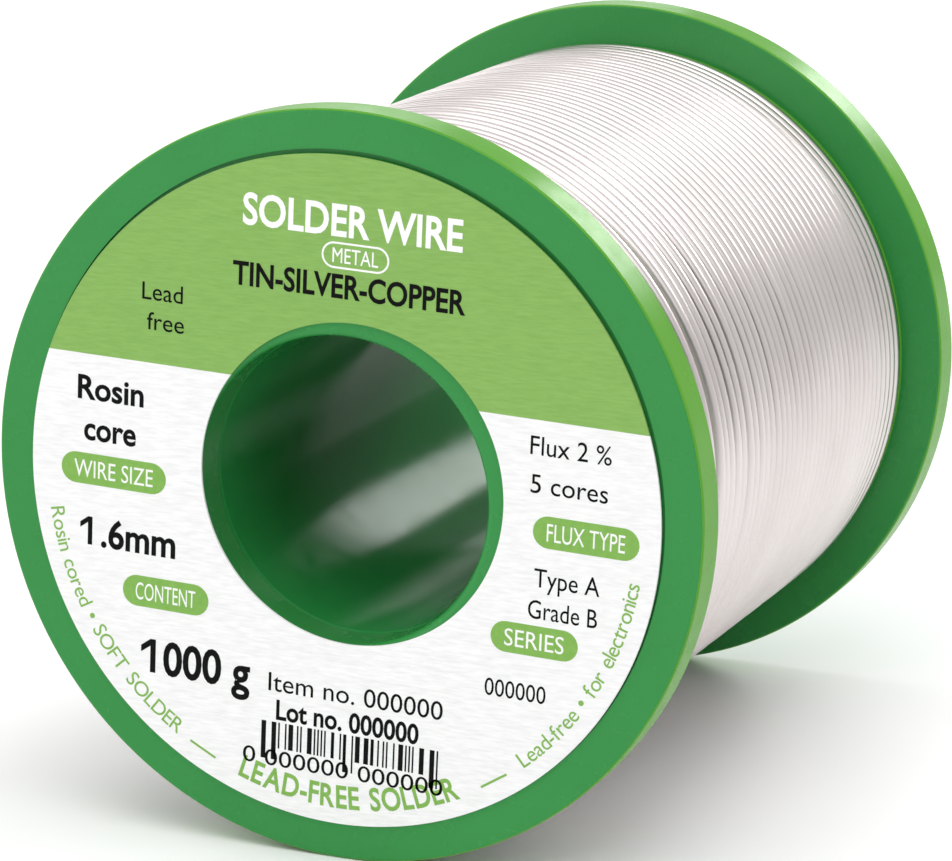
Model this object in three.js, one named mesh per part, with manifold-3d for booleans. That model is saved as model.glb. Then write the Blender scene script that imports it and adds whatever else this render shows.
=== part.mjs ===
// Solder wire spool: two flanges pressed on a core tube, wound full of one length of solder wire.
//
// Millimetres, +Z up. The spool's axis runs along Y at axisHeight, and the label faces -Y.
// The origin lies on the surface that the two rims stand on, midway between the flanges.

import * as THREE from 'three';
import { mergeVertices } from 'three/addons/utils/BufferGeometryUtils.js';
import Module from 'manifold-3d';

const wasm = await Module();
wasm.setup();

// Driving dimensions
const rimRadius = 39;
const flangeThickness = 4.4;
const overallWidth = 82;
const boreRadius = 16;
const coreWall = 2.5;
const windingRadius = 34.8;
const wireDiameter = 1.6;
const labelRadius = 34.85;
const labelHoleRadius = 16.72;
const labelThickness = 0.2;
const roundSides = 72;

// Details of the mouldings
const rimEdge = 0.3;
const boreEdge = 0.7;
const padRadius = 34.4;
const padHeight = 0.5;
const grooveInnerRadius = 33.8;
const grooveOuterRadius = 35;
const grooveDepth = 0.4;
const tongueDepth = 2;
const tongueShare = 0.5;
const jointChamfer = 0.25;
const looseFit = 0.1;
const wireHoleRadius = 1.2;

// The paper ring is stuck on slightly low, and its hole is punched slightly to the upper right.
const labelShift = new THREE.Vector2(-0.17, -0.33);
const labelHoleShift = new THREE.Vector2(1.25, 0.85);
const glueGap = 0.05;

// The rims are polygons of roundSides sides, with one side flat on the ground.
// Each side is rimRadius from the axis, and the corners are flangeRadius from it.
const halfSide = Math.PI / roundSides;
const axisHeight = rimRadius;
const flangeRadius = rimRadius / Math.cos(halfSide);
const halfWidth = overallWidth / 2;
const rimInnerFace = halfWidth - flangeThickness;
const padFace = rimInnerFace - padHeight;
const coreRadius = boreRadius + coreWall;
const tongueRadius = boreRadius + coreWall * tongueShare;

// Materials

function material(name, color, roughness, metalness) {
  return new THREE.MeshStandardMaterial({ name, color, roughness, metalness });
}

const greenPlastic = material('green_plastic', 0x42954f, 0.35, 0);
const labelPaper = material('label_paper', 0xf6f6f6, 0.8, 0);
const solder = material('solder', 0xcac2c0, 0.35, 0.9);

// Geometry helpers

// Points of a round edge in an (r, y) section, as equal steps between two directions.
function roundEdge(centreR, centreY, radius, fromAngle, toAngle, steps = 2) {
  const points = [];
  for (let i = 0; i <= steps; i++) {
    const angle = fromAngle + (toAngle - fromAngle) * i / steps;
    points.push([centreR + radius * Math.cos(angle), centreY + radius * Math.sin(angle)]);
  }
  return points;
}

// Turns a closed (r, y) section, listed anticlockwise, about the Y axis.
function turned(section) {
  const profile = section.map(([r, y]) => new THREE.Vector2(r, y));
  profile.push(profile[0].clone());
  return new THREE.LatheGeometry(profile, roundSides, halfSide);
}

// The same section seen in a mirror on the plane y = 0.
function mirrored(section) {
  return section.map(([r, y]) => [r, -y]).reverse();
}

function toManifold(geometry) {
  const bare = geometry.clone();
  bare.deleteAttribute('normal');
  bare.deleteAttribute('uv');
  const welded = mergeVertices(bare);
  return new wasm.Manifold(new wasm.Mesh({
    numProp: 3,
    vertProperties: new Float32Array(welded.attributes.position.array),
    triVerts: new Uint32Array(welded.index.array),
  }));
}

function fromManifold(solid) {
  const mesh = solid.getMesh();
  const geometry = new THREE.BufferGeometry();
  geometry.setAttribute('position', new THREE.BufferAttribute(mesh.vertProperties, 3));
  geometry.setIndex(new THREE.BufferAttribute(mesh.triVerts, 1));
  geometry.computeVertexNormals();
  return geometry;
}

// A round bar along Y from fromY to toY, at the given radius and angle about the spool's axis.
function barAlongY(barRadius, fromY, toY, radius, angle, sides = 16) {
  const bar = new THREE.CylinderGeometry(barRadius, barRadius, toY - fromY, sides);
  bar.translate(radius * Math.cos(angle), (fromY + toY) / 2, radius * Math.sin(angle));
  return bar;
}

// Spool mouldings

// Section of the rear flange: a disc with a bore and rounded rim edges. Its inner face has
// a raised pad for the end turns and a ring groove for the tongue of the core tube. Its outer
// face has a shallow ring groove, which the label's edge covers where there is a label.
function flangeSection() {
  return [
    [boreRadius, padFace + jointChamfer],
    [boreRadius + jointChamfer, padFace],
    [tongueRadius, padFace],
    [tongueRadius, padFace + tongueDepth],
    [coreRadius + looseFit, padFace + tongueDepth],
    [coreRadius + looseFit, padFace],
    [padRadius, padFace],
    [padRadius, rimInnerFace],
    ...roundEdge(flangeRadius - rimEdge, rimInnerFace + rimEdge, rimEdge, -Math.PI / 2, 0),
    ...roundEdge(flangeRadius - rimEdge, halfWidth - rimEdge, rimEdge, 0, Math.PI / 2),
    [grooveOuterRadius, halfWidth],
    [grooveOuterRadius, halfWidth - grooveDepth],
    [grooveInnerRadius, halfWidth - grooveDepth],
    [grooveInnerRadius, halfWidth],
    ...roundEdge(boreRadius + boreEdge, halfWidth - boreEdge, boreEdge, Math.PI / 2, Math.PI),
  ];
}

function frontFlange() {
  return turned(mirrored(flangeSection()));
}

// The rear flange also has the two holes that hold the ends of the wire.
function rearFlange() {
  let solid = toManifold(turned(flangeSection()));
  for (const end of Object.values(wireEnds)) {
    const hole = barAlongY(wireHoleRadius, padFace - 1, halfWidth + 1, end.radius, end.angle);
    solid = solid.subtract(toManifold(hole));
  }
  return fromManifold(solid);
}

// A tube whose ends are stepped: the inner half of its wall butts against the flange,
// and the outer half goes on as a tongue in the flange's groove.
function coreTube() {
  const buttEnd = padFace - looseFit;
  const tongueEnd = padFace + tongueDepth - looseFit;
  const rearHalf = [
    [coreRadius, tongueEnd],
    [tongueRadius + looseFit, tongueEnd],
    [tongueRadius + looseFit, buttEnd],
    [boreRadius + jointChamfer, buttEnd],
    [boreRadius, buttEnd - jointChamfer],
  ];
  return turned([...rearHalf, ...mirrored(rearHalf)]);
}

// Label

function frontLabel() {
  const outline = new THREE.Shape();
  outline.absarc(labelShift.x, labelShift.y, labelRadius, 0, 2 * Math.PI);
  const hole = new THREE.Path();
  hole.absarc(labelHoleShift.x, labelHoleShift.y, labelHoleRadius, 0, 2 * Math.PI);
  outline.holes.push(hole);
  return new THREE.ExtrudeGeometry(outline, {
    depth: labelThickness,
    bevelEnabled: false,
    curveSegments: roundSides / 2,
  });
}

// Solder wire

const firstLayerRadius = coreRadius + 2 * looseFit + wireDiameter / 2;
const lastLayerRadius = windingRadius - wireDiameter / 2;

// Where the wire starts on the core and where it finishes on the full winding:
// each end is bent through a hole in the rear flange and cut off just inside its outer face.
const wireEnds = {
  wire_start_end: { radius: firstLayerRadius + wireDiameter / 2, angle: Math.PI * 0.8 },
  wire_finish_end: { radius: lastLayerRadius - wireDiameter / 4, angle: Math.PI * 0.9 },
};

// The wound wire as one ring between the flanges, its corners rounded by the end turns.
function wireWinding() {
  const innerRadius = coreRadius + 2 * looseFit;
  const end = padFace - looseFit;
  const corner = wireDiameter / 2;
  const rearHalf = [
    ...roundEdge(windingRadius - corner, end - corner, corner, 0, Math.PI / 2),
    [innerRadius, end],
  ];
  return turned([...rearHalf, ...mirrored(rearHalf)]);
}

function wireEnd({ radius, angle }) {
  const fromY = padFace + looseFit;
  const toY = halfWidth - wireDiameter / 2;
  return barAlongY(wireDiameter / 2, fromY, toY, radius, angle, 12);
}

// Assembly

const spool = new THREE.Group();
spool.position.z = axisHeight;

function add(name, geometry, look) {
  const mesh = new THREE.Mesh(geometry, look.clone());
  mesh.name = name;
  spool.add(mesh);
  return mesh;
}

add('front_flange', frontFlange(), greenPlastic);
add('rear_flange', rearFlange(), greenPlastic);
add('core_tube', coreTube(), greenPlastic);
add('wire_winding', wireWinding(), solder);
for (const [name, end] of Object.entries(wireEnds)) {
  add(name, wireEnd(end), solder);
}

// The label's outline is drawn in XY and stands up to face -Y.
const label = add('front_label', frontLabel(), labelPaper);
label.rotation.x = Math.PI / 2;
label.position.y = -(halfWidth + glueGap);

export default spool;
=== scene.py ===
import math
import random

import bmesh
import bpy
from mathutils import Matrix, Vector


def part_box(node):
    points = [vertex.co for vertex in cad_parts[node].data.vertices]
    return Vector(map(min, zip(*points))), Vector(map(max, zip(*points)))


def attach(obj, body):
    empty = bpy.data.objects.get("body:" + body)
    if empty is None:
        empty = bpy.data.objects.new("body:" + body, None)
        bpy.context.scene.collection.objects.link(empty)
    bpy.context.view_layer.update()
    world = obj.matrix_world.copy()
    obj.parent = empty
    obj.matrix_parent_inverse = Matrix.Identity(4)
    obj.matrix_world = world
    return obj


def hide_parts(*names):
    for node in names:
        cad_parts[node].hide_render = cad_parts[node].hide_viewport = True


# Looks of the solder wire spool: a green plastic spool on its rims, wound full of solder wire,
# with a printed paper ring on its front flange. Everything is in metres, in the CAD frame.

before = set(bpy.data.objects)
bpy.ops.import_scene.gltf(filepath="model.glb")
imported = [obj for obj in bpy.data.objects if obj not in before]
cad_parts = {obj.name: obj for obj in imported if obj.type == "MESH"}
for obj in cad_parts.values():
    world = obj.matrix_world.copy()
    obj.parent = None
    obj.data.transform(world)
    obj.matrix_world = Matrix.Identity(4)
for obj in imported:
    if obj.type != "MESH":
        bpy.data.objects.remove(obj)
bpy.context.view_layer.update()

MM = 0.001

# Places and sizes taken from the CAD nodes
flange_low, flange_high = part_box("rear_flange")
core_low, core_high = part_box("core_tube")
winding_low, winding_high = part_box("wire_winding")
label_low, label_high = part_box("front_label")

axis_height = (flange_low.z + flange_high.z) / 2
rim_radius = (flange_high.z - flange_low.z) / 2
pad_face = flange_low.y
outer_face = flange_high.y
core_radius = (core_high.z - core_low.z) / 2
tongue_end = core_high.y
winding_radius = (winding_high.z - winding_low.z) / 2
winding_end = winding_high.y
label_centre = (label_low + label_high) / 2
label_radius = (label_high.z - label_low.z) / 2
paper_front = label_low.y

# Details of the mouldings, as in the CAD
bore_radius = 16 * MM
core_wall = core_radius - bore_radius
tongue_radius = bore_radius + core_wall / 2
tongue_depth = 2 * MM
rim_edge = 0.3 * MM
bore_edge = 0.7 * MM
pad_radius = 34.4 * MM
pad_height = 0.5 * MM
pad_edge = 0.12 * MM
groove_inner_radius = 33.8 * MM
groove_outer_radius = 35 * MM
groove_depth = 0.4 * MM
joint_chamfer = 0.25 * MM
loose_fit = 0.1 * MM
wire_hole_radius = 1.2 * MM
wire_radius = 0.8 * MM
pin_marks = 3
pin_mark_radius = 2.5 * MM
pin_mark_depth = 0.06 * MM
pin_mark_circle = 27 * MM
cutter_overrun = 1 * MM

round_segments = 288


# ---------------------------------------------------------------- colours and materials


def colour(code):
    """Linear colour, with alpha, of a six-digit sRGB hex code."""
    channels = [int(code[i : i + 2], 16) / 255 for i in (0, 2, 4)]
    linear = [c / 12.92 if c < 0.04 else ((c + 0.055) / 1.055) ** 2.4 for c in channels]
    return (*linear, 1)


class Look:
    """A material with its node tree, and the few kinds of node that the materials here share."""

    def __init__(self, name, roughness, metallic=0, **shader_values):
        self.material = bpy.data.materials.new(name)
        self.material.use_nodes = True
        self.tree = self.material.node_tree
        self.shader = self.tree.nodes["Principled BSDF"]
        self.shader.inputs["Roughness"].default_value = roughness
        self.shader.inputs["Metallic"].default_value = metallic
        for socket, value in shader_values.items():
            self.shader.inputs[socket.replace("_", " ")].default_value = value
        self.place = self.tree.nodes.new("ShaderNodeTexCoord")

    def join(self, output, node_input):
        self.tree.links.new(output, node_input)

    def noise(self, scale, detail=3, stretch=(1, 1, 1), space="Object"):
        """Smooth noise of the given scale, drawn out along the axes whose stretch is small."""
        mapping = self.tree.nodes.new("ShaderNodeMapping")
        mapping.inputs["Scale"].default_value = stretch
        self.join(self.place.outputs[space], mapping.inputs["Vector"])
        texture = self.tree.nodes.new("ShaderNodeTexNoise")
        texture.inputs["Scale"].default_value = scale
        texture.inputs["Detail"].default_value = detail
        self.join(mapping.outputs["Vector"], texture.inputs["Vector"])
        return texture.outputs["Fac"]

    def spread(self, value, low, high, from_low=0.3, from_high=0.7):
        """The value's usual range from_low..from_high brought to low..high."""
        node = self.tree.nodes.new("ShaderNodeMapRange")
        node.inputs["From Min"].default_value = from_low
        node.inputs["From Max"].default_value = from_high
        node.inputs["To Min"].default_value = low
        node.inputs["To Max"].default_value = high
        self.join(value, node.inputs["Value"])
        return node.outputs["Result"]

    def mix(self, share, first, second):
        """First colour where share is 0 and second where it is 1; each is a colour or an output."""
        node = self.tree.nodes.new("ShaderNodeMix")
        node.data_type = "RGBA"
        self.join(share, node.inputs["Factor"])
        for socket, value in (("A", first), ("B", second)):
            target = next(i for i in node.inputs if i.name == socket and i.type == "RGBA")
            if isinstance(value, bpy.types.NodeSocket):
                self.join(value, target)
            else:
                target.default_value = value
        return next(o for o in node.outputs if o.type == "RGBA")

    def mottle(self, pattern, first, second):
        """Colours the surface from the first hex code to the second by the pattern's usual range."""
        blend = self.mix(self.spread(pattern, 0, 1), colour(first), colour(second))
        self.join(blend, self.shader.inputs["Base Color"])

    def set_roughness(self, output):
        self.join(output, self.shader.inputs["Roughness"])

    def add_bump(self, height, depth):
        """Raises the surface by height times depth, on top of any bump added before."""
        node = self.tree.nodes.new("ShaderNodeBump")
        node.inputs["Strength"].default_value = 1
        node.inputs["Distance"].default_value = depth
        self.join(height, node.inputs["Height"])
        normal = self.shader.inputs["Normal"]
        if normal.is_linked:
            self.join(normal.links[0].from_socket, node.inputs["Normal"])
        self.join(node.outputs["Normal"], normal)


def plastic(name, first, second, roughness, index, unevenness=1.0):
    """Glossy moulded plastic with a faintly uneven surface."""
    look = Look(name, roughness, IOR=index, Specular_IOR_Level=0.3)
    look.mottle(look.noise(60, detail=4), first, second)
    look.set_roughness(look.spread(look.noise(420, detail=5), 0.8 * roughness, 1.2 * roughness))
    look.add_bump(look.noise(2600, detail=2), unevenness * 0.0015 * MM)
    look.add_bump(look.noise(180, detail=2), unevenness * 0.004 * MM)
    return look.material


def paper(name, first, second):
    """Matt paper with fine wavy embossing; its colour lightens and darkens along the same pattern as the
    bump, painted shading of the embossing.
    """
    look = Look(name, roughness=0.75, Specular_IOR_Level=0.3)
    grain_and_painted_shade = look.noise(3500, detail=3, stretch=(0.16, 1, 1))
    # Painted shade: the colour follows the embossing's pattern to stand in for its shading.
    look.mottle(grain_and_painted_shade, first, second)
    look.set_roughness(look.spread(look.noise(900), 0.68, 0.85))
    look.add_bump(grain_and_painted_shade, 0.06 * MM)
    return look.material


def ink(name, first, second):
    look = Look(name, roughness=0.6, Specular_IOR_Level=0.1)
    look.mottle(look.noise(1500, detail=4), first, second)
    look.set_roughness(look.spread(look.noise(1200), 0.5, 0.7))
    look.add_bump(look.noise(1500, detail=3, stretch=(0.3, 1, 1)), 0.04 * MM)
    return look.material


def solder(name, first, second):
    """Drawn tin alloy wire, with fine lines along the wire and dull patches."""
    look = Look(name, roughness=0.35, metallic=1)
    look.mottle(look.noise(60, detail=4), first, second)
    patches = look.noise(350, detail=4, stretch=(0.05, 1, 1), space="UV")
    look.set_roughness(look.spread(patches, 0.28, 0.4))
    look.add_bump(look.noise(5000, detail=2, stretch=(0.02, 1, 1), space="UV"), 0.003 * MM)
    return look.material


def flux():
    look = Look("flux", roughness=0.2, IOR=1.54)
    look.mottle(look.noise(4000), "a8772c", "c9963f")
    look.set_roughness(look.spread(look.noise(3000), 0.15, 0.35))
    return look.material


def floor_paint():
    look = Look("floor", roughness=0.6)
    look.mottle(look.noise(3), "f4f4f4", "f7f7f7")
    look.set_roughness(look.spread(look.noise(20), 0.55, 0.7))
    return look.material


# ---------------------------------------------------------------- making meshes


sharp_angle = 30


def add_mesh(name, vertices, faces, *materials, smooth_below=sharp_angle):
    """A shown mesh with outward normals, smooth except at edges sharper than smooth_below degrees."""
    mesh = bpy.data.meshes.new(name)
    mesh.from_pydata(vertices, [], faces)
    shape = bmesh.new()
    shape.from_mesh(mesh)
    bmesh.ops.recalc_face_normals(shape, faces=shape.faces)
    shape.to_mesh(mesh)
    shape.free()
    mesh.shade_smooth()
    mesh.set_sharp_from_angle(angle=math.radians(smooth_below))
    for material in materials:
        mesh.materials.append(material)
    made = bpy.data.objects.new(name, mesh)
    bpy.context.collection.objects.link(made)
    return made


def keep(made, slot, *nodes):
    """The piece rides on the spool and stands for the CAD nodes, which are hidden. The slot is not used."""
    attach(made, "root")
    if nodes:
        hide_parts(*nodes)
    return made


def around(radius, angle, y):
    """A point about the spool's axis; angle 0 is +X and a quarter turn is +Z."""
    return Vector((radius * math.cos(angle), y, axis_height + radius * math.sin(angle)))


def turned(name, section, *materials):
    """A closed (radius, y) section turned about the spool's axis."""
    count = len(section)
    vertices = []
    faces = []
    for i in range(round_segments):
        angle = math.tau * i / round_segments
        vertices += [around(radius, angle, y) for radius, y in section]
        here = i * count
        there = (i + 1) % round_segments * count
        for j in range(count):
            k = (j + 1) % count
            faces.append((here + j, here + k, there + k, there + j))
    return add_mesh(name, vertices, faces, *materials)


def round_edge(centre_radius, centre_y, radius, from_angle, to_angle, steps=6):
    """Points of a rounded edge in a (radius, y) section; angles in quarter turns. A short straight
    run at each end keeps the shading of the flat faces beside it flat."""
    straight = 0.08 * MM
    angles = [math.pi / 2 * (from_angle + (to_angle - from_angle) * i / steps) for i in range(steps + 1)]
    points = [(centre_radius + radius * math.cos(a), centre_y + radius * math.sin(a)) for a in angles]
    runs = []
    for (r, y), angle, way in ((points[0], angles[0], -straight), (points[-1], angles[-1], straight)):
        runs.append((r - way * math.sin(angle), y + way * math.cos(angle)))
    return [runs[0], *points, runs[1]]


def tube(name, centres, radius, sides, *materials):
    """A round wire through the centres, with UVs in metres along and round it."""
    vertices = []
    lengths = []
    travelled = 0
    for i, centre in enumerate(centres):
        before = centres[max(i - 1, 0)]
        after = centres[min(i + 1, len(centres) - 1)]
        along = (after - before).normalized()
        outward = Vector((centre.x, 0, centre.z - axis_height))
        across = along.cross(outward).normalized()
        outward = across.cross(along)
        for j in range(sides):
            angle = math.tau * j / sides
            vertices.append(centre + radius * (math.cos(angle) * outward + math.sin(angle) * across))
        travelled += (centre - before).length
        lengths.append(travelled)
    faces = []
    for i in range(len(centres) - 1):
        for j in range(sides):
            k = (j + 1) % sides
            faces.append((i * sides + j, i * sides + k, (i + 1) * sides + k, (i + 1) * sides + j))
    faces.append(tuple(range(sides)))
    faces.append(tuple(range(len(vertices) - sides, len(vertices))))
    made = add_mesh(name, vertices, faces, *materials, smooth_below=60)
    lay_along = made.data.uv_layers.new(name="along_wire")
    for loop in made.data.loops:
        ring, side = divmod(loop.vertex_index, sides)
        lay_along.data[loop.index].uv = (lengths[ring], radius * math.tau * side / sides)
    return made


def cut(target, tools):
    """Takes the tools' shapes away from the target, and removes the tools."""
    for tool in tools:
        modifier = target.modifiers.new("cut", "BOOLEAN")
        modifier.operation = "DIFFERENCE"
        modifier.solver = "EXACT"
        modifier.object = tool
    evaluated = target.evaluated_get(bpy.context.evaluated_depsgraph_get())
    result = bpy.data.meshes.new_from_object(evaluated)
    if not result.polygons:
        raise RuntimeError(f"cutting {target.name} left nothing of it")
    target.modifiers.clear()
    target.data = result
    result.set_sharp_from_angle(angle=math.radians(sharp_angle))
    for tool in tools:
        bpy.data.objects.remove(tool)


def bar_along_y(name, centre, radius, from_y, to_y, *materials, sides=48):
    """A round bar along Y whose axis passes through the centre."""
    vertices = []
    for y in (from_y, to_y):
        for j in range(sides):
            angle = math.tau * j / sides
            vertices.append((centre.x + radius * math.cos(angle), y, centre.z + radius * math.sin(angle)))
    faces = [(j, (j + 1) % sides, (j + 1) % sides + sides, j + sides) for j in range(sides)]
    faces.append(tuple(range(sides)))
    faces.append(tuple(range(sides, 2 * sides)))
    return add_mesh(name, vertices, faces, *materials)


# ---------------------------------------------------------------- spool mouldings


def flange_section():
    """Section of the rear flange; the front one is its mirror image."""
    rim_inner_face = pad_face + pad_height
    return [
        (bore_radius, pad_face + joint_chamfer),
        (bore_radius + joint_chamfer, pad_face),
        (tongue_radius, pad_face),
        (tongue_radius, pad_face + tongue_depth),
        (core_radius + loose_fit, pad_face + tongue_depth),
        (core_radius + loose_fit, pad_face),
        *round_edge(pad_radius - pad_edge, pad_face + pad_edge, pad_edge, -1, 0),
        (pad_radius, rim_inner_face),
        *round_edge(rim_radius - rim_edge, rim_inner_face + rim_edge, rim_edge, -1, 0),
        *round_edge(rim_radius - rim_edge, outer_face - rim_edge, rim_edge, 0, 1),
        (groove_outer_radius, outer_face),
        (groove_outer_radius, outer_face - groove_depth),
        (groove_inner_radius, outer_face - groove_depth),
        (groove_inner_radius, outer_face),
        *round_edge(bore_radius + bore_edge, outer_face - bore_edge, bore_edge, 1, 2),
    ]


def mark_rim_painted_light(flange):
    """Gives the second material to the outward walls of the rim and the pad: the same plastic painted lighter
    and yellower, as painted light falling on and through those walls.
    """
    for face in flange.data.polygons:
        outward = Vector((face.center.x, 0, face.center.z - axis_height))
        if outward.length > pad_radius - pad_edge and face.normal.dot(outward.normalized()) > 0.6:
            face.material_index = 1


def front_flange(*plastics):
    section = [(radius, -y) for radius, y in flange_section()]
    flange = turned("front_flange_moulding", section, *plastics)
    mark_rim_painted_light(flange)
    return keep(flange, "green_plastic", "front_flange")


def rear_flange(*plastics):
    """The rear flange has two holes for the ends of the wire, and shallow marks of the mould's pins."""
    flange = turned("rear_flange_moulding", flange_section(), *plastics)
    tools = []
    for node in ("wire_start_end", "wire_finish_end"):
        low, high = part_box(node)
        centre = (low + high) / 2
        from_y = pad_face - cutter_overrun
        tools.append(bar_along_y("hole", centre, wire_hole_radius, from_y, outer_face + cutter_overrun))
    for i in range(pin_marks):
        centre = around(pin_mark_circle, math.pi / 2 + math.tau * i / pin_marks, outer_face)
        from_y = outer_face - pin_mark_depth
        tools.append(bar_along_y("pin", centre, pin_mark_radius, from_y, outer_face + cutter_overrun))
    cut(flange, tools)
    mark_rim_painted_light(flange)
    return keep(flange, "green_plastic", "rear_flange")


def core_tube(dark_plastic):
    butt_end = pad_face - loose_fit
    rear_half = [
        (core_radius, tongue_end),
        (tongue_radius + loose_fit, tongue_end),
        (tongue_radius + loose_fit, butt_end),
        (bore_radius + joint_chamfer, butt_end),
        (bore_radius, butt_end - joint_chamfer),
    ]
    front_half = [(radius, -y) for radius, y in reversed(rear_half)]
    tube_moulding = turned("core_tube_moulding", rear_half + front_half, dark_plastic)
    return keep(tube_moulding, "green_plastic", "core_tube")


# ---------------------------------------------------------------- wire

layer_step = wire_radius * math.sqrt(3)
outer_layer_radius = winding_radius - wire_radius
first_turn_y = -winding_end + wire_radius
last_turn_y = winding_end - wire_radius
turns = 41.45
steps_per_turn = 144
loose_turns = 9
uneven_turns = 13
deepest_turn = 0.42 * MM
side_wander = 0.08 * MM
height_wander = 0.05 * MM
climb_turns = 0.3
drop_turns = 0.1
bend_steps = 8
flux_cores = 5


def ease(share):
    share = min(max(share, 0), 1)
    return share * share * (3 - 2 * share)


def turn_positions():
    """Where each whole turn of the outer layer lies along Y: tight, with looser turns at the front."""
    draw = random.Random(7)
    whole = math.ceil(turns)
    slack = [draw.uniform(0.2, 1) * (0.03 + math.exp(-((i / loose_turns) ** 2))) for i in range(whole)]
    spare = last_turn_y - first_turn_y - 2 * wire_radius * turns
    used = sum(slack[:-1]) + slack[-1] * (turns - whole + 1)
    positions = [first_turn_y]
    for gap in slack:
        positions.append(positions[-1] + 2 * wire_radius + gap / used * spare)
    return positions


def turn_depths():
    """How far each whole turn of the outer layer has sunk: the loose turns at the front lie unevenly."""
    draw = random.Random(5)
    whole = math.ceil(turns) + 1
    return [draw.uniform(0, deepest_turn) * math.exp(-((i / uneven_turns) ** 2)) for i in range(whole)]


def outer_layer_path():
    """The last layer: it climbs up at the front flange, runs to the rear one and turns into its hole."""
    low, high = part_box("wire_finish_end")
    hole = (low + high) / 2
    hole_radius = math.hypot(hole.x, hole.z - axis_height)
    hole_angle = math.atan2(hole.z - axis_height, hole.x)
    bend = low.y - last_turn_y
    last_angle = hole_angle - bend / hole_radius
    positions = turn_positions()
    depths = turn_depths()
    centres = []
    steps = round(turns * steps_per_turn)
    for i in range(steps + 1):
        turn = turns * i / steps
        angle = last_angle + math.tau * (turn - turns)
        whole = min(int(turn), len(positions) - 2)
        y = positions[whole] + (positions[whole + 1] - positions[whole]) * (turn - whole)
        y += side_wander * math.sin(angle + 0.15 * turn) * ease(turn / 3) * ease((turns - turn) / 3)
        climb = layer_step * (1 - ease(turn / climb_turns))
        sunk = depths[whole] + (depths[whole + 1] - depths[whole]) * ease(turn - whole)
        lift = height_wander * math.sin(2.3 * angle + 0.4 * turn) * ease(turn / 2)
        to_hole = (outer_layer_radius - hole_radius) * ease(1 - (turns - turn) / drop_turns)
        centres.append(around(outer_layer_radius - climb - sunk - abs(lift) - to_hole, angle, y))
    for i in range(1, bend_steps + 1):
        swing = math.pi / 2 * i / bend_steps
        angle = last_angle + bend * math.sin(swing) / hole_radius
        centres.append(around(hole_radius, angle, last_turn_y + bend * (1 - math.cos(swing))))
    return centres


def under_layer_path():
    """The layer below, wound the other way, seen only between the outer turns."""
    radius = outer_layer_radius - layer_step
    steps = round(turns * steps_per_turn / 2)
    reach = last_turn_y - wire_radius
    centres = []
    for i in range(steps + 1):
        share = i / steps
        centres.append(around(radius, -math.tau * turns * share, reach * (2 * share - 1)))
    return centres


def winding(metal, metal_painted_shade):
    """The layers deeper than the two outer ones can't be seen, so they are one solid ring. This ring and the
    under layer take a darker copy of the solder: painted shade between the outer turns.
    """
    outer = tube("wire_outer_layer", outer_layer_path(), wire_radius, 14, metal)
    keep(outer, "solder", "wire_winding")
    under = tube("wire_under_layer", under_layer_path(), wire_radius, 10, metal_painted_shade)
    keep(under, "solder")
    pack_radius = outer_layer_radius - layer_step
    section = [
        (core_radius + 2 * loose_fit, -winding_end),
        (pack_radius, -winding_end),
        (pack_radius, winding_end),
        (core_radius + 2 * loose_fit, winding_end),
    ]
    keep(turned("wire_inner_layers", section, metal_painted_shade), "solder")


def wire_end(node, metal, resin):
    """A cut end of the wire in its hole, with the five flux cores showing in its end face."""
    low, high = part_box(node)
    centre = (low + high) / 2
    end = bar_along_y(node + "_wire", centre, wire_radius, low.y, high.y, metal)
    keep(end, "solder", node)
    for i in range(flux_cores):
        angle = math.tau * i / flux_cores
        place = centre + 0.45 * wire_radius * Vector((math.cos(angle), 0, math.sin(angle)))
        low_y = high.y - 0.5 * MM
        high_y = high.y + 0.02 * MM
        core = bar_along_y(f"{node}_flux_{i + 1}", place, 0.16 * wire_radius, low_y, high_y, resin, sides=16)
        keep(core, "solder")


# ---------------------------------------------------------------- label

label_tilt = math.radians(-2.5)
label_chord = 10.9 * MM
label_hole_radius = 16.72 * MM
label_hole_centre = (1.25 * MM, 0.85 * MM)
ink_thickness = 0.02 * MM


def on_label(x, z, height=0):
    """A point of the label, from its centre and square to its own lettering, height in front of the paper."""
    turned_point = Matrix.Rotation(label_tilt, 2) @ Vector((x, z))
    return Vector((label_centre.x + turned_point.x, paper_front - height, label_centre.z + turned_point.y))


def paper_ring(white, green):
    """A paper ring with a hole off its centre, green above the chord and white below."""
    paper_back = -outer_face - 0.01 * MM
    vertices = []
    for y in (paper_front, paper_back):
        for radius, x, z in (
            (label_radius, label_centre.x, label_centre.z),
            (label_hole_radius, label_hole_centre[0], axis_height + label_hole_centre[1]),
        ):
            for i in range(round_segments):
                angle = math.tau * i / round_segments
                vertices.append((x + radius * math.cos(angle), y, z + radius * math.sin(angle)))
    faces = []
    for first, second in ((0, 1), (1, 3), (3, 2), (2, 0)):
        for i in range(round_segments):
            k = (i + 1) % round_segments
            a = first * round_segments
            b = second * round_segments
            faces.append((a + i, a + k, b + k, b + i))
    ring = add_mesh("label_paper", vertices, faces, white, green)
    upward = on_label(0, 1) - on_label(0, 0)
    on_chord = on_label(0, label_chord)
    shape = bmesh.new()
    shape.from_mesh(ring.data)
    everything = [*shape.verts, *shape.edges, *shape.faces]
    bmesh.ops.bisect_plane(shape, geom=everything, plane_co=on_chord, plane_no=upward)
    for face in shape.faces:
        above = (face.calc_center_median() - on_chord).dot(upward) > 0
        face.material_index = 1 if above else 0
    shape.to_mesh(ring.data)
    shape.free()
    return keep(ring, "label_paper", "front_label")


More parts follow.
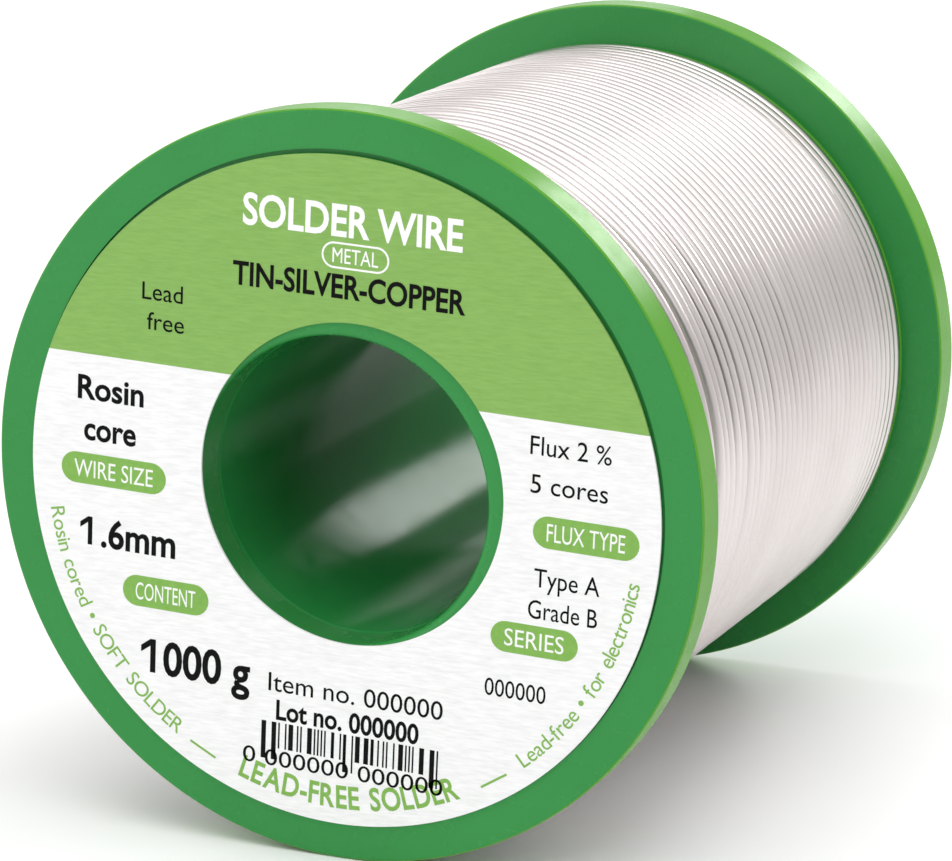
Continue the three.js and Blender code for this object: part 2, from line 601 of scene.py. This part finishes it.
class Print:
    """Everything printed in one ink, gathered into one thin mesh lying on the paper."""

    def __init__(self, name, material, lift=0):
        self.name = name
        self.material = material
        self.lift = lift
        self.vertices = []
        self.faces = []

    def add(self, points, faces):
        """Points are (x, z, share of the ink's thickness) on the label."""
        first = len(self.vertices)
        self.vertices += [on_label(x, z, self.lift + share * ink_thickness) for x, z, share in points]
        self.faces += [tuple(first + i for i in face) for face in faces]

    def patch(self, outline):
        """A filled outline."""
        count = len(outline)
        points = [(x, z, 0) for x, z in outline] + [(x, z, 1) for x, z in outline]
        faces = [tuple(range(count)), tuple(range(count, 2 * count))]
        faces += [(i, (i + 1) % count, (i + 1) % count + count, i + count) for i in range(count)]
        self.add(points, faces)

    def band(self, outer, inner):
        """The area between two outlines with the same number of points."""
        count = len(outer)
        rings = (outer, inner)
        points = [(x, z, share) for share in (0, 1) for ring in rings for x, z in ring]
        faces = []
        for first, second in ((0, 1), (1, 3), (3, 2), (2, 0)):
            for i in range(count):
                k = (i + 1) % count
                faces.append((first * count + i, first * count + k, second * count + k, second * count + i))
        self.add(points, faces)

    def box(self, x, z, width, height):
        left, right = x - width / 2, x + width / 2
        foot, head = z - height / 2, z + height / 2
        self.patch([(left, foot), (right, foot), (right, head), (left, head)])

    def finish(self):
        made = add_mesh(self.name, self.vertices, self.faces, self.material)
        return keep(made, "label_paper")


glyphs = {}


def glyph(text, weight):
    """Points and faces of lettering whose capitals are 1 high, standing on 0, with its low and high x."""
    if (text, weight) in glyphs:
        return glyphs[text, weight]
    curve = bpy.data.curves.new("lettering", "FONT")
    curve.body = text
    curve.offset = weight
    curve.extrude = 0.5
    curve.resolution_u = 4
    carrier = bpy.data.objects.new("lettering", curve)
    bpy.context.collection.objects.link(carrier)
    mesh = bpy.data.meshes.new_from_object(carrier.evaluated_get(bpy.context.evaluated_depsgraph_get()))
    shape = bmesh.new()
    shape.from_mesh(mesh)
    bmesh.ops.remove_doubles(shape, verts=shape.verts, dist=1e-5)
    shape.verts.index_update()
    points = [tuple(v.co) for v in shape.verts]
    faces = [tuple(v.index for v in f.verts) for f in shape.faces]
    shape.free()
    bpy.data.objects.remove(carrier)
    low = min(x for x, _, _ in points)
    high = max(x for x, _, _ in points)
    glyphs[text, weight] = (points, faces, low, high)
    return glyphs[text, weight]


def capital_height(weight):
    points = glyph("H", weight)[0]
    return max(y for _, y, _ in points)


def write(ink_layer, text, x, z, width, capitals, weight=0.0):
    """A straight line of lettering, centred on (x, z), drawn out to the width."""
    points, faces, low, high = glyph(text, weight)
    across = width / (high - low)
    tall = capitals / capital_height(weight)
    middle = (low + high) / 2
    placed = [(x + (px - middle) * across, z - capitals / 2 + py * tall, pz + 0.5) for px, py, pz in points]
    ink_layer.add(placed, faces)


def write_round(ink_layer, text, radius, from_angle, to_angle, capitals, weight, narrow):
    """Lettering whose feet stand on a circle, spaced evenly between the two angles, in degrees.
    Clockwise lettering has its heads outward, and anticlockwise lettering has them inward."""
    tall = capitals / capital_height(weight)
    wide = tall * narrow
    from_angle, to_angle = math.radians(from_angle), math.radians(to_angle)
    word_space = 0.3
    widths = [word_space if c == " " else glyph(c, weight)[3] - glyph(c, weight)[2] for c in text]
    direction = 1 if to_angle > from_angle else -1
    length = abs(to_angle - from_angle) * radius
    gap = (length - sum(widths) * wide) / (len(text) - 1)
    travelled = 0
    for letter, letter_width in zip(text, widths):
        middle = travelled + letter_width * wide / 2
        travelled += letter_width * wide + gap
        if letter == " ":
            continue
        angle = from_angle + direction * middle / radius
        points, faces, low, high = glyph(letter, weight)
        foot = Vector((radius * math.cos(angle), radius * math.sin(angle)))
        head = foot.normalized() * -direction
        right = Vector((head.y, -head.x))
        placed = []
        for px, py, pz in points:
            spot = foot + right * (px - (low + high) / 2) * wide + head * py * tall
            placed.append((spot.x, spot.y, pz + 0.5))
        ink_layer.add(placed, faces)


def pill_outline(x, z, width, height, corner_steps=12):
    """A bar with round ends."""
    radius = height / 2
    reach = width / 2 - radius
    points = []
    for side, start in ((1, -0.5), (-1, 0.5)):
        for i in range(corner_steps + 1):
            angle = math.pi * (start + i / corner_steps)
            points.append((x + side * reach + radius * math.cos(angle), z + radius * math.sin(angle)))
    return points


def write_one(ink_layer, x, z, capitals, stroke):
    """The figure 1 with a flag, its stem centred on x."""
    flag_reach, flag_drop = 0.3, 0.22
    slope = flag_drop / flag_reach
    outline = [
        (0, 0),
        (stroke, 0),
        (stroke, 1),
        (0, 1),
        (-flag_reach, 1 - flag_drop),
        (-flag_reach, 1 - flag_drop - 1.2 * stroke),
        (0, 1 - flag_drop - 1.2 * stroke + slope * flag_reach),
    ]
    ink_layer.patch([(x + (px - stroke / 2) * capitals, z + (pz - 0.5) * capitals) for px, pz in outline])


def bars(ink_layer, x, z, width, height, count=30):
    """A row of upright bars of uneven width; those at the ends and in the middle are longer."""
    draw = random.Random(11)
    steps = [draw.choice((1, 1, 2, 3)) for _ in range(2 * count - 1)]
    unit = width / sum(steps)
    left = x - width / 2
    for i, step in enumerate(steps):
        if i % 2 == 0:
            bar = i // 2
            longer = bar in (0, 1, count // 2 - 1, count // 2, count - 2, count - 1)
            tail = 0.45 * height if longer else 0
            ink_layer.box(left + step * unit / 2, z - tail / 2, step * unit * 0.9, height + tail)
        left += step * unit


thin = 0.0
bold = 0.022

# Straight lettering in black: words, centre x, centre z, width, capital height in mm, and weight
black_lines = [
    ("TIN-SILVER-COPPER", 0.4, 21.6, 25.5, 2.4, bold),
    ("Lead", -20.2, 18.4, 4.6, 1.8, thin),
    ("free", -19.8, 15.3, 4.2, 1.8, thin),
    ("Rosin", -25.9, 7.4, 7.6, 2.5, bold),
    ("core", -25.9, 3.1, 6.0, 2.5, bold),
    (".6mm", -22.4, -7.9, 8.6, 3.0, bold),
    ("000 g", -14.2, -20.3, 10.0, 3.6, bold),
    ("Flux 2 %", 25.0, 8.3, 8.6, 1.9, thin),
    ("5 cores", 25.0, 4.4, 8.2, 1.9, thin),
    ("Type A", 25.2, -5.2, 7.0, 1.9, thin),
    ("Grade B", 24.9, -8.5, 7.4, 1.9, thin),
    ("000000", 20.2, -17.3, 6.6, 1.8, thin),
    ("Item no. 000000", 2.7, -20.8, 19.5, 1.95, thin),
    ("Lot no. 000000", 1.9, -23.7, 16.0, 2.1, bold),
    ("0 000000 000000", 1.5, -29.0, 22.5, 1.7, thin),
]

# Green pills with white lettering: words, centre x, centre z, width, height in mm
pills = [
    ("WIRE SIZE", -25.4, -1.3, 12.1, 3.3),
    ("CONTENT", -19.1, -13.5, 9.9, 3.3),
    ("FLUX TYPE", 27.0, -0.4, 11.3, 3.3),
    ("SERIES", 22.0, -11.8, 9.4, 3.2),
]

# Green lettering round the edge: words, radius in mm, from and to angle in degrees, capital height in mm,
# weight, and width as a share of its usual width
round_lines = [
    ("LEAD-FREE SOLDER", 33.1, -108, -63.5, 2.4, bold, 0.8),
    ("Rosin cored • SOFT SOLDER", 33.2, -169.5, -121.5, 1.6, thin, 1.0),
    ("Lead-free • for electronics", 33.2, -49.5, -7.5, 1.6, thin, 1.0),
]


def label_print():
    white_on_green = Print("label_print_white", ink("ink_white", "f4f6f2", "ffffff"))
    green = Print("label_print_green", ink("ink_green", "80b055", "88b85c"))
    on_pills = Print("label_print_pill_words", ink("ink_pill_words", "f0f3ec", "fafbf8"), lift=ink_thickness)
    black = Print("label_print_black", ink("ink_black", "060606", "0e0e0e"))

    write(white_on_green, "SOLDER WIRE", 0.6 * MM, 28.3 * MM, 24 * MM, 3.2 * MM, bold)
    pill_place = (1.1 * MM, 24.7 * MM)
    outer = pill_outline(*pill_place, 7.4 * MM, 2.7 * MM)
    inner = pill_outline(*pill_place, 7.0 * MM, 2.3 * MM)
    white_on_green.band(outer, inner)
    write(white_on_green, "METAL", *pill_place, 5.0 * MM, 1.5 * MM, thin)

    for words, x, z, width, capitals, weight in black_lines:
        write(black, words, x * MM, z * MM, width * MM, capitals * MM, weight)
    write_one(black, -28.0 * MM, -7.9 * MM, 3.0 * MM, 0.17)
    write_one(black, -20.4 * MM, -20.3 * MM, 3.6 * MM, 0.17)
    bars(black, 2.2 * MM, -26.5 * MM, 19.9 * MM, 2.8 * MM)

    for words, x, z, width, height in pills:
        green.patch(pill_outline(x * MM, z * MM, width * MM, height * MM))
        write(on_pills, words, x * MM, z * MM, (width - 3) * MM, 0.55 * height * MM, thin)

    for words, radius, from_angle, to_angle, capitals, weight, narrow in round_lines:
        write_round(green, words, radius * MM, from_angle, to_angle, capitals * MM, weight, narrow)
    for degrees in (-116, -56):
        angle = math.radians(degrees)
        dash = []
        for side, end in ((-1, -1), (1, -1), (1, 1), (-1, 1)):
            radius = 32.8 * MM + side * 0.12 * MM
            dash.append((radius * math.cos(angle + end * 0.05), radius * math.sin(angle + end * 0.05)))
        green.patch(dash)

    for layer in (white_on_green, green, on_pills, black):
        layer.finish()


# ---------------------------------------------------------------- studio


def studio_floor():
    bpy.ops.mesh.primitive_circle_add(vertices=128, radius=4, fill_type="NGON", location=(0, 0, 0))
    floor = bpy.context.object
    floor.name = "studio_floor"
    floor.data.materials.append(floor_paint())


def softbox(name, direction, distance, width, height, brightness):
    """A rectangular lamp that faces the spool; brightness is what it looks like from there."""
    lamp = bpy.data.lights.new(name, "AREA")
    lamp.shape = "RECTANGLE"
    lamp.size = width
    lamp.size_y = height
    lamp.energy = brightness * math.pi * width * height
    holder = bpy.data.objects.new(name, lamp)
    toward = Vector(direction).normalized()
    holder.location = Vector((0, 0, axis_height)) + toward * distance
    holder.rotation_euler = toward.to_track_quat("Z", "Y").to_euler()
    bpy.context.collection.objects.link(holder)


def black_card():
    """A black card behind the camera gives the shiny wire its dark lines."""
    card_radius = 0.4
    card_distance = 0.76
    bpy.ops.mesh.primitive_circle_add(vertices=64, radius=card_radius, fill_type="NGON")
    card = bpy.context.object
    card.name = "black_card"
    toward = Vector((0.58, -0.79, 0.14)).normalized()
    card.location = Vector((0, 0, axis_height)) + card_distance * toward
    card.rotation_euler = toward.to_track_quat("Z", "Y").to_euler()
    look = Look("card", roughness=0.9)
    look.mottle(look.noise(40), "101010", "181818")
    card.data.materials.append(look.material)
    card.visible_camera = False


def studio_light():
    world = bpy.data.worlds.new("studio")
    world.use_nodes = True
    background = world.node_tree.nodes["Background"]
    background.inputs["Color"].default_value = (1, 1, 1, 1)
    background.inputs["Strength"].default_value = 0.7
    bpy.context.scene.world = world
    softbox("back_softbox", (0.24, 0.89, 0.42), 1.1, 0.44, 0.26, 12)
    softbox("back_left_softbox", (-0.5, 0.85, 0.35), 1.2, 0.6, 0.4, 1.2)
    softbox("front_softbox", (0.15, -0.75, 0.6), 1.2, 0.8, 0.8, 1.3)
    softbox("left_softbox", (-0.6, -0.75, 0.1), 1.2, 0.6, 0.6, 1.5)
    softbox("right_softbox", (0.6, -0.5, 0.75), 1.2, 0.7, 0.7, 0.9)
    softbox("top_softbox", (0, -0.2, 1), 1.5, 1.2, 1.2, 2)
    bpy.context.scene.view_settings.view_transform = "Standard"


def camera():
    """A long lens from the front right, a little above the spool."""
    azimuth = math.radians(23.2)
    elevation = math.radians(13.9)
    distance = 431 * MM
    aim_right = 13.7 * MM
    aim_up = 6.2 * MM
    forward = Vector(
        (
            -math.sin(azimuth) * math.cos(elevation),
            math.cos(azimuth) * math.cos(elevation),
            -math.sin(elevation),
        )
    )
    right = Vector((math.cos(azimuth), math.sin(azimuth), 0))
    up = right.cross(forward)
    aim = Vector((0, -outer_face, axis_height)) + aim_right * right + aim_up * up
    data = bpy.data.cameras.new("camera")
    data.lens = 161.8
    data.sensor_width = 36
    holder = bpy.data.objects.new("camera", data)
    holder.location = aim - forward * distance
    holder.rotation_euler = (-forward).to_track_quat("Z", "Y").to_euler()
    bpy.context.collection.objects.link(holder)
    bpy.context.scene.camera = holder


# ---------------------------------------------------------------- assembly

flange_plastic = plastic("flange_plastic", "308a42", "349046", roughness=0.25, index=1.45)
# Painted light: the flange plastic made lighter and yellower for the outward walls of the rims and the pad.
rim_plastic = plastic("rim_plastic", "5a9c34", "65a63c", roughness=0.24, index=1.19)
core_plastic = plastic("core_plastic", "278640", "2f924a", roughness=0.17, index=1.17, unevenness=0.1)
metal = solder("solder", "e2dbd9", "d8d0ce")
# Painted shade: a darker copy of the solder for the under layer and inner layers seen between the outer
# turns.
metal_painted_shade = solder("solder_between_turns", "5c5654", "4a4543")
resin = flux()
white_paper = paper("paper_white", "eeeeee", "fafafa")
green_paper = paper("paper_green", "83af59", "8cb861")

front_flange(flange_plastic, rim_plastic)
rear_flange(flange_plastic, rim_plastic)
core_tube(core_plastic)
winding(metal, metal_painted_shade)
wire_end("wire_start_end", metal, resin)
wire_end("wire_finish_end", metal, resin)
paper_ring(white_paper, green_paper)
label_print()

studio_floor()
black_card()
studio_light()
camera()
